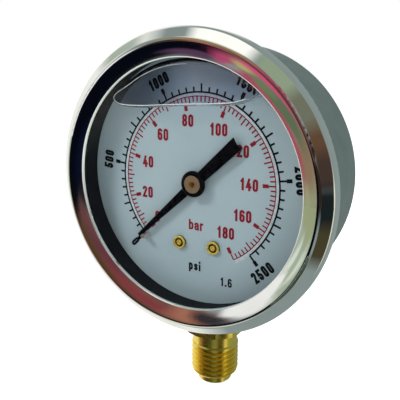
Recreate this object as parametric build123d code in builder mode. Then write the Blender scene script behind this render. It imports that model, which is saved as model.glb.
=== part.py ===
"""Liquid-filled Bourdon-tube pressure gauge, 63 mm nominal size, with its connection at the bottom.

X runs to the right across the dial, Y from the dial towards the back of the case, and Z up.
The origin is the middle of the connection's thread, on its axis. Sizes are in millimetres.

Depths are counted from the dial's face: positive towards the back, negative towards the window.
Drops are counted down from the dial's centre. Angles on the dial run anticlockwise from the right.
"""

from build123d import *
from math import asin, atan2, cos, degrees, radians, sin, tan
import os

os.makedirs("parts", exist_ok=True)

# ---------------------------------------------------------------- overall sizes
stem_depth = 9.6  # depth of the connection's axis
fit_gap = 0.2  # plain clearance between pieces that pass each other
running_gap = 0.05  # radial clearance of a pin or shaft in its hole

# ---------------------------------------------------------------- case, window and bezel
case_radius = 31.0
case_wall = 0.8
case_depth = 21.5  # depth of the outside of the case's back
case_edge_radius = 2.5
flange_width = 2.2  # rim that the bezel is crimped over
flange_depth = -3.85  # depth of the rim's front

bezel_sheet = 0.7
bezel_gap = 0.6  # edge of the rim to the inside of the bezel
bezel_width = 6.45  # outside of the bezel to its lip
bezel_crest_inset = 2.7  # outside of the bezel to its crest
bezel_dish = 1.15  # how far the crest stands in front of the lip
bezel_bow = 0.12  # swell of the dished face
bezel_shoulder = 2.2  # how far the shoulder lies behind the crest
bezel_crest_fillet = 1.1
bezel_lip_fillet = 0.35
bezel_edge_fillet = 1.2
crimp_gap = 0.4  # crimped edge to the side of the case

gasket_thickness = 0.5
gasket_set_back = 1.1  # the bezel's lip to the gasket's bore
gasket_skirt = 0.8  # radial thickness of the skirt that holds the dial down
window_gap = 1.2  # edge of the window to the inside of the bezel
window_thickness = 1.8

plug_radius = 4.5
plug_neck_radius = 3.4
plug_rise = 1.0
plug_flange = 0.9

# ---------------------------------------------------------------- socket and its thread
thread_radius = 6.0  # M12 x 1.25
thread_pitch = 1.25
thread_length = 8.4
thread_chamfer = 0.9
neck_radius = 5.65
neck_length = 3.5
pilot_radius = 4.3
pilot_length = 2.0
pilot_chamfer = 0.4
square_size = 14.0  # spanner size
square_length = 11.0
square_corner_radius = 8.0
square_bevel_radius = 7.1  # at the square's lower end, just outside its flats
square_bevel = 0.5  # height of the bevel on its corners
collar_radius = 7.0
collar_length = 1.8
bore_radius = 2.5
bore_depth = 12.0
passage_radius = 1.5
channel_radius = 0.9
restrictor_length = 3.0
restrictor_recess = 1.0
restrictor_hole = 0.3
slot_width = 0.5
slot_depth = 0.5

pocket_rise = 2.9  # flat at the bottom of the case, above the round
pocket_length = 15.4  # along Y
seal_thickness = 0.5
foot_width = 24.0
foot_length = 15.0
foot_height = 3.0
block_top_drop = 19.2
block_front_depth = 4.6
block_back_depth = 15.5
block_right = 8.5
tongue_width = 14.0
tongue_top_drop = 6.0
tongue_thickness = 5.0

case_screw_spacing = 20.4
case_screw_radius = 0.95
case_screw_length = 2.4  # grip in the foot
case_screw_head_radius = 1.6
case_screw_head = 1.2
case_washer_radius = 1.9
case_washer_thickness = 0.5

# ---------------------------------------------------------------- Bourdon tube
tube_radius = 22.5  # centre line
tube_thickness = 3.0
tube_width = 8.0
tube_wall = 0.4
tube_depth = 10.6  # depth of the tube's centre line
tube_start_angle = 250.0
tube_end_angle = -8.0
cap_margin = 0.4
cap_angle = 6.0
tip_pin_radial = 20.5
tip_pin_angle = -19.5

# ---------------------------------------------------------------- dial
dial_gap = 0.4  # edge of the dial to the wall of the case
dial_thickness = 0.8
dial_hole = 1.2
rivet_spacing = 9.1
rivet_drop = 14.9
rivet_radius = 0.8
rivet_head_radius = 1.6
rivet_head = 0.8
rivet_groove_radius = 1.1  # outside of the ring groove in its head
rivet_middle_radius = 0.65
rivet_groove = 0.45  # its depth
rivet_fillet = 0.2
standoff_radius = 1.7
stop_pin_radius = 0.55
stop_pin_radial = 20.0
stop_pin_height = 2.7
stop_gap = 0.06  # pointer to pin at rest

# ---------------------------------------------------------------- movement
plate_gap = 2.4  # back of the dial to the front plate
plate_thickness = 1.0
movement_space = 5.0  # between the plates
pillar_radius = 1.5
pillar_spots = [(-9.0, 2.0), (-10.5, -12.0), (12.5, 1.5)]
pillar_screw_radius = 0.7
pillar_screw_length = 2.6
pillar_screw_head_radius = 1.3
pillar_screw_head = 0.7
spigot_radius = 0.9
plate_margin = 1.5
movement_screw_spots = [(-3.5, -9.5), (3.0, -13.5)]
movement_screw_radius = 0.9
movement_screw_length = 4.0
movement_screw_head_radius = 1.5
movement_screw_head = 0.7

gear_module = 0.2
pinion_teeth = 15
sector_ratio = 10  # sector teeth on a full circle to pinion teeth
mesh_angle = -50.0  # direction from the pinion to the sector's pivot
tooth_addendum = 0.18
tooth_dedendum = 0.24
tooth_root_width = 0.30
tooth_tip_width = 0.12
pointer_travel = 283.1
spare_teeth = 4
sector_thickness = 1.0
sector_depth = 5.8  # depth of its front
sector_rim = 2.4
sector_hub_radius = 2.4
sector_arm_width = 2.6
sector_arbor_radius = 0.8
tail_length = 6.4
tail_angle = -34.4
tail_width = 3.0
tail_slot_play = 0.25  # room along the tail for the open pivot
tail_slot_gap = 0.08  # room across the tail
pinion_overlap = 0.2  # how far the pinion's teeth pass each face of the sector
arbor_radius = 0.7

link_depth = 7.0
link_thickness = 0.8
link_eye_radius = 1.2
link_width = 1.3
link_pin_radius = 0.5
pin_head_radius = 0.9
pin_head = 0.4
ear_gap = 0.1
ear_thickness = 1.0
ear_radius = 1.3

spring_depth = 7.6
spring_height = 0.6
spring_strip = 0.12
spring_inner_radius = 1.4
spring_pitch = 0.8
spring_turns = 5
collet_radius = 1.3
collet_height = 1.0
stud_radius = 0.6
stud_angle = 200.0

# ---------------------------------------------------------------- pointer
pointer_zero_angle = 223.1
pointer_depth = -1.6  # depth of its front
pointer_thickness = 0.4
pointer_length = 21.4
pointer_hub_width = 2.3
pointer_tip_width = 0.85
tail_reach = 14.9
tail_hub_width = 2.4
tail_end_width = 3.15
tail_notch = 0.4  # depth of the vee in the tail's end
hub_radius = 3.05
hub_height = 0.7
hub_edge_fillet = 0.45
hub_rim = 1.0
hub_floor = 0.3
boss_radius = 1.5
boss_length = 0.8
arbor_stand_out = 0.1  # arbor's end beyond the hub

# ---------------------------------------------------------------- places worked out from the sizes
pocket_drop = case_radius - pocket_rise
seal_drop = pocket_drop - case_wall
foot_drop = seal_drop - seal_thickness
square_top_drop = pocket_drop + collar_length - case_wall
neck_drop = square_top_drop + square_length
connection_drop = neck_drop + neck_length + thread_length + pilot_length
axis_z = connection_drop - pilot_length - thread_length / 2
dial_axis = Axis((0, 0, axis_z), (0, 1, 0))
case_bore = case_radius - case_wall
dial_radius = case_bore - dial_gap
bezel_radius = case_radius + flange_width + bezel_gap + bezel_sheet
bezel_lip_radius = bezel_radius - bezel_width
bezel_crest_radius = bezel_radius - bezel_crest_inset
window_radius = bezel_radius - bezel_sheet - window_gap
gasket_bore = bezel_lip_radius + gasket_set_back
window_back = flange_depth - gasket_thickness
window_front = window_back - window_thickness
plate_depth = dial_thickness + plate_gap
rear_plate_depth = plate_depth + plate_thickness + movement_space
tongue_depth = rear_plate_depth + plate_thickness
pinion_radius = gear_module * pinion_teeth / 2
sector_radius = pinion_radius * sector_ratio
tooth_angle = 360 / (pinion_teeth * sector_ratio)
sector_teeth = round(pointer_travel / sector_ratio / tooth_angle) + spare_teeth
rivet_spots = [(side * rivet_spacing / 2, -rivet_drop) for side in (-1, 1)]


def polar(radius, angle, centre=(0, 0)):
    """Point at this radius and angle about a centre, in the front view."""
    return (centre[0] + radius * cos(radians(angle)), centre[1] + radius * sin(radians(angle)))


sector_pivot = polar(pinion_radius + sector_radius, mesh_angle)
link_tail = polar(tail_length, tail_angle, sector_pivot)
link_tip = polar(tip_pin_radial, tip_pin_angle)
spring_outer_radius = spring_inner_radius + spring_pitch * spring_turns


def layer(depth, angle=0):
    """Front-view plane at this depth, extruding towards the window: x points at the angle."""
    along = (cos(radians(angle)), 0, sin(radians(angle)))
    return Plane(origin=(0, depth - stem_depth, axis_z), x_dir=along, z_dir=(0, -1, 0))


def section(angle=0):
    """Plane through the dial's axis at this angle: x is the radius and y the depth."""
    outwards = Vector(cos(radians(angle)), 0, sin(radians(angle)))
    return Plane(origin=(0, -stem_depth, axis_z), x_dir=outwards, z_dir=outwards.cross(Vector(0, 1, 0)))


def below(drop):
    """Horizontal plane this far under the dial's centre, about the connection's axis."""
    return Plane.XY.offset(axis_z - drop)


def save(part, name):
    """Label a finished piece and write it."""
    part.label = name
    export_step(part, f"parts/{name}.step")


# ---------------------------------------------------------------- case
with BuildPart() as case_cavity:
    with BuildSketch(section()):
        with BuildLine():
            Polyline(
                (0, flange_depth - case_wall), (case_bore, flange_depth - case_wall),
                (case_bore, case_depth - case_wall), (0, case_depth - case_wall), close=True,
            )
        make_face()
    revolve(axis=dial_axis)
    back_edge = case_cavity.edges().filter_by(GeomType.CIRCLE).sort_by(Axis.Y)[-1]
    fillet(back_edge, case_edge_radius - case_wall)
    with BuildSketch(below(seal_drop)):
        Rectangle(2 * case_radius, pocket_length + 2 * case_wall)
    extrude(amount=-case_radius, mode=Mode.SUBTRACT)

with BuildPart() as case_shell:
    with BuildSketch(section()):
        with BuildLine():
            Polyline(
                (0, flange_depth), (case_radius + flange_width, flange_depth),
                (case_radius + flange_width, flange_depth + case_wall),
                (case_radius, flange_depth + case_wall), (case_radius, case_depth),
                (0, case_depth), close=True,
            )
        make_face()
    revolve(axis=dial_axis)
    back_edge = case_shell.edges().filter_by(GeomType.CIRCLE).sort_by(Axis.Y)[-1]
    fillet(back_edge, case_edge_radius)
    with BuildSketch(below(pocket_drop)):
        Rectangle(2 * case_radius, pocket_length)
    extrude(amount=-case_radius, mode=Mode.SUBTRACT)
    add(case_cavity.part, mode=Mode.SUBTRACT)
    with BuildSketch(below(seal_drop)):
        Circle(collar_radius + fit_gap)
        with GridLocations(case_screw_spacing, 0, 2, 1):
            Circle(case_screw_radius + running_gap)
    extrude(amount=-2 * case_wall, mode=Mode.SUBTRACT)
    with BuildSketch(Plane.XY.offset(axis_z)):
        Circle(plug_neck_radius)
    extrude(amount=case_radius, mode=Mode.SUBTRACT)
save(case_shell.part, "case_shell")

# Rubber plug in the filling hole, domed to follow the case and flanged inside it.
with BuildPart() as fill_plug:
    with BuildSketch(Plane.XY.offset(axis_z)):
        Circle(plug_radius)
    extrude(amount=case_radius + plug_rise)
    fillet(fill_plug.edges().sort_by(Axis.Z)[-1], plug_rise / 2)
    with BuildSketch(layer(stem_depth + plug_radius)):
        Circle(case_radius)
    extrude(amount=2 * plug_radius, mode=Mode.SUBTRACT)
    with BuildSketch(Plane.XY.offset(axis_z)):
        Circle(plug_neck_radius)
    extrude(amount=case_radius + plug_rise / 2)
    with BuildSketch(Plane.XY.offset(axis_z)):
        Circle(plug_radius)
    extrude(amount=case_radius - 2 * case_wall)
    with BuildSketch(Plane.XY.offset(axis_z)):
        Circle(plug_radius)
    extrude(amount=case_radius - 2 * case_wall - plug_flange, mode=Mode.SUBTRACT)
save(fill_plug.part, "fill_plug")

with BuildPart() as window_gasket:
    with BuildSketch(section()):
        with BuildLine():
            Polyline(
                (gasket_bore, window_back), (window_radius, window_back),
                (window_radius, flange_depth), (gasket_bore + gasket_skirt, flange_depth),
                (gasket_bore + gasket_skirt, 0), (gasket_bore, 0), close=True,
            )
        make_face()
    revolve(axis=dial_axis)
save(window_gasket.part, "window_gasket")

with BuildPart() as window:
    with BuildSketch(layer(window_back)):
        Circle(window_radius)
    extrude(amount=window_thickness)
    chamfer(window.edges().group_by(Axis.Y)[0], bezel_sheet / 3)
save(window.part, "window")

# Bezel ring: one sheet, dished at the front and crimped behind the case's rim.
bezel_crest = window_front - bezel_sheet - bezel_dish
crimp_front = flange_depth + case_wall
crimp_radius = case_radius + crimp_gap
with BuildPart() as bezel_ring:
    with BuildSketch(section()) as bezel_profile:
        with BuildLine():
            dish = SagittaArc(
                (bezel_crest_radius, bezel_crest), (bezel_lip_radius, window_front - bezel_sheet), bezel_bow
            )
            Polyline(
                dish @ 1, (bezel_lip_radius, window_front),
                (bezel_crest_radius - bezel_sheet / 6, bezel_crest + 1.2 * bezel_sheet),
                (bezel_radius - bezel_sheet, bezel_crest + bezel_shoulder + bezel_sheet / 2),
                (bezel_radius - bezel_sheet, crimp_front), (crimp_radius, crimp_front),
                (crimp_radius, crimp_front + bezel_sheet), (bezel_radius, crimp_front + bezel_sheet),
                (bezel_radius, bezel_crest + bezel_shoulder), dish @ 0,
            )
        make_face()
        for corner_radius, fillet_radius in (
            (bezel_lip_radius, bezel_lip_fillet), (bezel_crest_radius, bezel_crest_fillet),
        ):
            corners = bezel_profile.vertices()
            corners = corners.filter_by_position(Axis.X, corner_radius - 0.01, corner_radius + 0.01)
            fillet(corners.sort_by(Axis.Y)[0], fillet_radius)
        rims = bezel_profile.vertices()
        fillet(rims.filter_by_position(Axis.X, bezel_radius - 0.01, bezel_radius + 0.01), bezel_edge_fillet)
    revolve(axis=dial_axis)
save(bezel_ring.part, "bezel_ring")

# ---------------------------------------------------------------- dial
# The stop pin stands just beside the pointer at zero, clear of its width there.
pointer_taper = (pointer_hub_width - pointer_tip_width) / pointer_length
pointer_width_at_pin = pointer_hub_width - pointer_taper * stop_pin_radial
stop_pin_offset = stop_pin_radius + stop_gap + pointer_width_at_pin / 2
stop_pin_angle = pointer_zero_angle + degrees(asin(stop_pin_offset / stop_pin_radial))
stop_pin_spot = polar(stop_pin_radial, stop_pin_angle)

with BuildPart() as dial:
    with BuildSketch(layer(dial_thickness)):
        Circle(dial_radius)
        Circle(dial_hole, mode=Mode.SUBTRACT)
        with Locations(*rivet_spots):
            Circle(rivet_radius + running_gap, mode=Mode.SUBTRACT)
        with Locations(stop_pin_spot):
            Circle(stop_pin_radius, mode=Mode.SUBTRACT)
    extrude(amount=dial_thickness)
save(dial.part, "dial")

with BuildPart() as stop_pin:
    with BuildSketch(layer(dial_thickness)):
        with Locations(stop_pin_spot):
            Circle(stop_pin_radius)
    extrude(amount=dial_thickness + stop_pin_height)
    chamfer(stop_pin.edges().sort_by(Axis.Y)[0], stop_pin_radius / 4)
save(stop_pin.part, "stop_pin")

with BuildPart() as dial_standoffs:
    with BuildSketch(layer(plate_depth)):
        with Locations(*rivet_spots):
            Circle(standoff_radius)
            Circle(rivet_radius + running_gap, mode=Mode.SUBTRACT)
    extrude(amount=plate_gap)
save(dial_standoffs.part, "dial_standoffs")

# Rivets with a ring groove in the head, through the dial and its standoffs into the front plate.
with BuildPart() as dial_rivets:
    with BuildSketch(layer(0)):
        with Locations(*rivet_spots):
            Circle(rivet_head_radius)
    extrude(amount=rivet_head)
    with BuildSketch(layer(-rivet_head)):
        with Locations(*rivet_spots):
            Circle(rivet_groove_radius)
            Circle(rivet_middle_radius, mode=Mode.SUBTRACT)
    extrude(amount=-rivet_groove, mode=Mode.SUBTRACT)
    fillet(dial_rivets.edges().group_by(Axis.Y)[0], rivet_fillet)
    with BuildSketch(layer(plate_depth + plate_thickness)):
        with Locations(*rivet_spots):
            Circle(rivet_radius)
    extrude(amount=plate_depth + plate_thickness)
save(dial_rivets.part, "dial_rivets")

# ---------------------------------------------------------------- movement frame


def slotted_screws(spots, head_depth, head, head_radius, shank_radius, shank_length):
    """Slotted screws seen from the front: heads that end at a depth, shanks that run back from it."""
    with BuildPart() as screws:
        with BuildSketch(layer(head_depth)):
            with Locations(*spots):
                Circle(head_radius)
        extrude(amount=head)
        chamfer(screws.edges().group_by(Axis.Y)[0], head / 5)
        with BuildSketch(layer(head_depth - head)):
            with Locations(*spots):
                Rectangle(3 * head_radius, slot_width, rotation=40)
        extrude(amount=-head / 2, mode=Mode.SUBTRACT)
        with BuildSketch(layer(head_depth + shank_length)):
            with Locations(*spots):
                Circle(shank_radius)
        extrude(amount=shank_length)
    return screws.part


def plate_outline(fixing_spots):
    """Plate that wraps the pillars, the sector's pivot and the plate's own fixings."""
    with BuildSketch() as outline:
        for spot in [*pillar_spots, sector_pivot, *fixing_spots]:
            with Locations(spot):
                Circle(pillar_radius + plate_margin)
        make_hull()
    return outline.sketch


def plate(depth, pillar_hole_radius, fixing_spots, fixing_radius):
    """Movement plate with its pillar holes, its two bearings and the holes of its fixings."""
    with BuildPart() as sheet:
        with BuildSketch(layer(depth + plate_thickness)):
            add(plate_outline(fixing_spots))
            with Locations(*pillar_spots):
                Circle(pillar_hole_radius, mode=Mode.SUBTRACT)
            Circle(arbor_radius + running_gap, mode=Mode.SUBTRACT)
            with Locations(sector_pivot):
                Circle(sector_arbor_radius + running_gap, mode=Mode.SUBTRACT)
            with Locations(*fixing_spots):
                Circle(fixing_radius, mode=Mode.SUBTRACT)
        extrude(amount=plate_thickness)
    return sheet.part


front_plate = plate(plate_depth, pillar_screw_radius + running_gap, rivet_spots, rivet_radius)
save(front_plate, "front_plate")
rear_plate = plate(
    rear_plate_depth, spigot_radius, movement_screw_spots, movement_screw_radius + running_gap
)
save(rear_plate, "rear_plate")

with BuildPart() as movement_pillars:
    with BuildSketch(layer(rear_plate_depth)):
        with Locations(*pillar_spots):
            Circle(pillar_radius)
    extrude(amount=movement_space)
    with BuildSketch(layer(tongue_depth)):
        with Locations(*pillar_spots):
            Circle(spigot_radius)
    extrude(amount=plate_thickness)
    with BuildSketch(layer(plate_depth + plate_thickness)):
        with Locations(*pillar_spots):
            Circle(pillar_screw_radius + running_gap)
    extrude(amount=-pillar_screw_length, mode=Mode.SUBTRACT)
save(movement_pillars.part, "movement_pillars")

pillar_screws = slotted_screws(
    pillar_spots, plate_depth, pillar_screw_head, pillar_screw_head_radius, pillar_screw_radius,
    plate_thickness + pillar_screw_length - fit_gap,
)
save(pillar_screws, "pillar_screws")
movement_screws = slotted_screws(
    movement_screw_spots, rear_plate_depth, movement_screw_head, movement_screw_head_radius,
    movement_screw_radius, plate_thickness + movement_screw_length - fit_gap,
)
save(movement_screws, "movement_screws")

# ---------------------------------------------------------------- socket
thread_top = thread_length / 2
stem_end = axis_z - connection_drop
thread_depth = 0.6134 * thread_pitch
tube_end = polar(tube_radius, tube_start_angle)
channel_run = -tube_end[0] / sin(radians(tube_start_angle - 180))
channel_drop = -tube_end[1] + channel_run * cos(radians(tube_start_angle - 180))
channel_mouth = Plane(
    origin=(tube_end[0], tube_depth - stem_depth, axis_z + tube_end[1]),
    z_dir=section(tube_start_angle).z_dir,
)
case_screw_grip = case_washer_thickness + case_wall + seal_thickness + case_screw_length


def on_tube_face(drop):
    """Point on the block's slanted face, which squarely meets the end of the tube."""
    return (-drop / tan(radians(tube_start_angle)), -drop)


def case_screw_places():
    return GridLocations(case_screw_spacing, 0, 2, 1)


# Spanner square with its corners turned off and bevelled.
with BuildPart() as square:
    with BuildSketch(below(neck_drop)):
        Rectangle(square_size, square_size)
    extrude(amount=square_length)
    square_bottom = axis_z - neck_drop
    with BuildSketch(Plane.XZ):
        with BuildLine():
            Polyline(
                (0, square_bottom), (square_bevel_radius, square_bottom),
                (square_corner_radius, square_bottom + square_bevel),
                (square_corner_radius, square_bottom + square_length), (0, square_bottom + square_length),
                close=True,
            )
        make_face()
    revolve(axis=Axis.Z, mode=Mode.INTERSECT)

with BuildPart() as socket:
    with BuildSketch(layer(block_back_depth)):
        with BuildLine():
            Polyline(
                on_tube_face(block_top_drop), on_tube_face(foot_drop - foot_height / 2),
                (block_right, -foot_drop + foot_height / 2), (block_right, -block_top_drop), close=True,
            )
        make_face()
    extrude(amount=block_back_depth - block_front_depth)
    with BuildSketch(layer(tongue_depth + tongue_thickness)):
        with Locations((0, -(block_top_drop + tongue_top_drop + foot_height) / 2)):
            Rectangle(tongue_width, block_top_drop - tongue_top_drop + foot_height)
    extrude(amount=tongue_thickness)
    with BuildSketch(below(foot_drop)):
        Rectangle(foot_width, foot_length)
    extrude(amount=foot_height)
    with BuildSketch(below(square_top_drop)):
        Circle(collar_radius)
    extrude(amount=square_top_drop - foot_drop)
    add(square.part)
    # Neck, thread and pilot are turned in one profile, then the thread's grooves are cut.
    with BuildSketch(Plane.XZ):
        with BuildLine():
            Polyline(
                (0, thread_top + neck_length), (neck_radius, thread_top + neck_length),
                (neck_radius, thread_top + thread_radius - neck_radius), (thread_radius, thread_top),
                (thread_radius, thread_chamfer - thread_top), (thread_radius - thread_chamfer, -thread_top),
                (pilot_radius, -thread_top), (pilot_radius, stem_end + pilot_chamfer),
                (pilot_radius - pilot_chamfer, stem_end), (0, stem_end), close=True,
            )
        make_face()
    revolve(axis=Axis.Z)
    with BuildSketch(Plane.XZ):
        with Locations((thread_radius, 0)):
            with GridLocations(0, thread_pitch, 1, int(thread_length / thread_pitch)):
                Polygon(
                    (0, thread_pitch * 7 / 16), (-thread_depth, thread_pitch / 8),
                    (-thread_depth, -thread_pitch / 8), (0, -thread_pitch * 7 / 16), align=None,
                )
    revolve(axis=Axis.Z, mode=Mode.SUBTRACT)
    # Pressure passages: inlet bore, riser, and the channel to the tube's mouth.
    with BuildSketch(Plane.XY.offset(stem_end)):
        Circle(bore_radius)
    extrude(amount=bore_depth, mode=Mode.SUBTRACT)
    with BuildSketch(Plane.XY.offset(stem_end)):
        Circle(passage_radius)
    extrude(amount=connection_drop - channel_drop + passage_radius, mode=Mode.SUBTRACT)
    with BuildSketch(channel_mouth):
        Circle(channel_radius)
    extrude(amount=-channel_run, mode=Mode.SUBTRACT)
    # Holes for the case's screws and the movement's screws.
    with BuildSketch(below(foot_drop)):
        with case_screw_places():
            Circle(case_screw_radius)
    extrude(amount=case_screw_length + fit_gap, mode=Mode.SUBTRACT)
    with BuildSketch(layer(tongue_depth)):
        with Locations(*movement_screw_spots):
            Circle(movement_screw_radius)
    extrude(amount=-movement_screw_length, mode=Mode.SUBTRACT)
save(socket.part, "socket")

# Restrictor with a fine hole, screwed into the inlet against pressure shocks.
with BuildPart() as restrictor_screw:
    with BuildSketch(Plane.XY.offset(stem_end + restrictor_recess)):
        Circle(bore_radius)
        Circle(restrictor_hole, mode=Mode.SUBTRACT)
    extrude(amount=restrictor_length)
    with BuildSketch(Plane.XY.offset(stem_end + restrictor_recess)):
        Rectangle(2 * bore_radius, slot_width)
    extrude(amount=slot_depth, mode=Mode.SUBTRACT)
save(restrictor_screw.part, "restrictor_screw")

with BuildPart() as socket_seal:
    with BuildSketch(below(seal_drop)):
        Rectangle(foot_width, foot_length)
        Circle(collar_radius + fit_gap, mode=Mode.SUBTRACT)
        with case_screw_places():
            Circle(case_screw_radius + running_gap, mode=Mode.SUBTRACT)
    extrude(amount=seal_thickness)
save(socket_seal.part, "socket_seal")

with BuildPart() as case_screw_washers:
    with BuildSketch(below(pocket_drop + case_washer_thickness)):
        with case_screw_places():
            Circle(case_washer_radius)
            Circle(case_screw_radius + running_gap, mode=Mode.SUBTRACT)
    extrude(amount=case_washer_thickness)
save(case_screw_washers.part, "case_screw_washers")

with BuildPart() as case_screws:
    with BuildSketch(below(pocket_drop + case_washer_thickness)):
        with case_screw_places():
            Circle(case_screw_head_radius)
    extrude(amount=-case_screw_head)
    fillet(case_screws.edges().group_by(Axis.Z)[0], case_screw_head / 3)
    with BuildSketch(below(pocket_drop + case_washer_thickness + case_screw_head)):
        with case_screw_places():
            Rectangle(3 * case_screw_head_radius, slot_width)
    extrude(amount=slot_depth, mode=Mode.SUBTRACT)
    with BuildSketch(below(pocket_drop + case_washer_thickness)):
        with case_screw_places():
            Circle(case_screw_radius)
    extrude(amount=case_screw_grip)
save(case_screws.part, "case_screws")

# ---------------------------------------------------------------- Bourdon tube and its tip
with BuildPart() as bourdon_tube:
    with BuildSketch(section(tube_start_angle)):
        with Locations((tube_radius, tube_depth)):
            SlotOverall(tube_width, tube_thickness, rotation=90)
            SlotOverall(
                tube_width - 2 * tube_wall, tube_thickness - 2 * tube_wall, rotation=90,
                mode=Mode.SUBTRACT,
            )
    revolve(axis=dial_axis, revolution_arc=tube_start_angle - tube_end_angle)
save(bourdon_tube.part, "bourdon_tube")

ear_depth = link_depth + link_thickness + ear_gap
with BuildPart() as tube_end_cap:
    with BuildSketch(section(tube_end_angle)):
        with Locations((tube_radius, tube_depth)):
            Rectangle(tube_thickness + 2 * cap_margin, tube_width + 2 * cap_margin)
    revolve(axis=dial_axis, revolution_arc=cap_angle)
    with BuildSketch(layer(ear_depth + ear_thickness)):
        for spot in (link_tip, polar(tube_radius, tube_end_angle - 2 * cap_angle / 3)):
            with Locations(spot):
                Circle(ear_radius)
        make_hull()
        with Locations(link_tip):
            Circle(link_pin_radius, mode=Mode.SUBTRACT)
    extrude(amount=ear_thickness)
save(tube_end_cap.part, "tube_end_cap")


def headed_pin(spot, front, back):
    """Pin with a small flat head at its front end."""
    with BuildPart() as pin:
        with BuildSketch(layer(back)):
            with Locations(spot):
                Circle(link_pin_radius)
        extrude(amount=back - front)
        with BuildSketch(layer(front)):
            with Locations(spot):
                Circle(pin_head_radius)
        extrude(amount=pin_head)
    return pin.part


tip_pin = headed_pin(link_tip, link_depth - ear_gap, ear_depth + ear_thickness)
save(tip_pin, "tip_pin")
link_pin = headed_pin(link_tail, sector_depth - ear_gap, link_depth + link_thickness)
save(link_pin, "link_pin")

link_run = Vector(*link_tail) - Vector(*link_tip)
with BuildPart() as link:
    with BuildSketch(layer(link_depth + link_thickness)):
        with Locations(link_tip, link_tail):
            Circle(link_eye_radius)
        with Locations((Vector(*link_tail) + Vector(*link_tip)) / 2):
            Rectangle(link_run.length, link_width, rotation=degrees(atan2(link_run.Y, link_run.X)))
        with Locations(link_tip):
            Circle(link_pin_radius + running_gap, mode=Mode.SUBTRACT)
        with Locations(link_tail):
            Circle(link_pin_radius, mode=Mode.SUBTRACT)
    extrude(amount=link_thickness)
save(link.part, "link")

# ---------------------------------------------------------------- sector and pinion


def tooth():
    """One straight-sided tooth, pointing along x from the root circle."""
    foot, tip = tooth_root_width / 2, tooth_tip_width / 2
    height = tooth_addendum + tooth_dedendum
    Polygon((-foot, -foot), (height, -tip), (height, tip), (-foot, foot), align=None)


# The teeth that are in mesh over the pointer's travel, with spare ones at both ends.
sector_root = sector_radius - tooth_dedendum
first_tooth = mesh_angle + 180 - tooth_angle * (sector_teeth - spare_teeth + (spare_teeth - 1) / 2)
tooth_spread = tooth_angle * (sector_teeth - 1)
with BuildPart() as sector_gear:
    with BuildSketch(layer(sector_depth + sector_thickness)):
        with BuildLine():
            outer = CenterArc(
                sector_pivot, sector_root, first_tooth - tooth_angle / 2, tooth_spread + tooth_angle
            )
            inner = CenterArc(
                sector_pivot, sector_root - sector_rim, first_tooth - tooth_angle / 2,
                tooth_spread + tooth_angle,
            )
            Line(outer @ 0, inner @ 0)
            Line(outer @ 1, inner @ 1)
        make_face()
        with Locations(sector_pivot):
            with PolarLocations(sector_root, sector_teeth, first_tooth, tooth_spread, endpoint=True):
                tooth()
            with PolarLocations(
                (sector_root - sector_rim / 2) / 2, 2, first_tooth + 2 * tooth_angle,
                tooth_spread - 4 * tooth_angle, endpoint=True,
            ):
                Rectangle(sector_root - sector_rim / 2, sector_arm_width)
            Circle(sector_hub_radius)
        with Locations(polar((tail_length + tail_width / 2) / 2, tail_angle, sector_pivot)):
            Rectangle(tail_length + tail_width / 2, tail_width, rotation=tail_angle)
        with Locations(sector_pivot):
            Circle(sector_arbor_radius, mode=Mode.SUBTRACT)
        with Locations(link_tail):
            SlotOverall(
                2 * (link_pin_radius + tail_slot_play), 2 * (link_pin_radius + tail_slot_gap),
                rotation=tail_angle, mode=Mode.SUBTRACT,
            )
    extrude(amount=sector_thickness)
save(sector_gear.part, "sector_gear")

with BuildPart() as sector_arbor:
    with BuildSketch(layer(tongue_depth)):
        with Locations(sector_pivot):
            Circle(sector_arbor_radius)
    extrude(amount=tongue_depth - plate_depth)
    for near, far in (
        (plate_depth + plate_thickness + fit_gap, sector_depth),
        (sector_depth + sector_thickness, rear_plate_depth - fit_gap),
    ):
        with BuildSketch(layer(far)):
            with Locations(sector_pivot):
                Circle(sector_hub_radius - sector_arbor_radius)
        extrude(amount=far - near)
save(sector_arbor.part, "sector_arbor")

arbor_front = pointer_depth - hub_height - arbor_stand_out
pinion_back = sector_depth + sector_thickness + pinion_overlap
with BuildPart() as pinion_arbor:
    with BuildSketch(layer(tongue_depth)):
        Circle(arbor_radius)
    extrude(amount=tongue_depth - arbor_front)
    with BuildSketch(layer(pinion_back)):
        Circle(pinion_radius - tooth_dedendum)
        with PolarLocations(pinion_radius - tooth_dedendum, pinion_teeth, mesh_angle):
            tooth()
    extrude(amount=sector_thickness + 2 * pinion_overlap)
save(pinion_arbor.part, "pinion_arbor")

# ---------------------------------------------------------------- hairspring


def spring_edge(offset):
    """Points along one face of the spiral strip, twelve to a turn."""
    points = []
    for step in range(12 * spring_turns + 1):
        turns = step / 12
        radius = spring_inner_radius + spring_pitch * turns + offset
        points.append(polar(radius, stud_angle + 360 * turns))
    return points


with BuildPart() as hairspring:
    with BuildSketch(layer(spring_depth + spring_height)):
        with BuildLine():
            outer = Spline(*spring_edge(spring_strip / 2))
            inner = Spline(*spring_edge(-spring_strip / 2))
            Line(outer @ 0, inner @ 0)
            Line(outer @ 1, inner @ 1)
        make_face()
    extrude(amount=spring_height)
save(hairspring.part, "hairspring")

with BuildPart() as hairspring_stud:
    with BuildSketch(layer(rear_plate_depth)):
        with Locations(polar(spring_outer_radius + spring_strip / 2 + stud_radius, stud_angle)):
            Circle(stud_radius)
    extrude(amount=rear_plate_depth - spring_depth + fit_gap)
save(hairspring_stud.part, "hairspring_stud")

with BuildPart() as hairspring_collet:
    with BuildSketch(layer(spring_depth + (spring_height + collet_height) / 2)):
        Circle(collet_radius)
        Circle(arbor_radius, mode=Mode.SUBTRACT)
    extrude(amount=collet_height)
save(hairspring_collet.part, "hairspring_collet")

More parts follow.
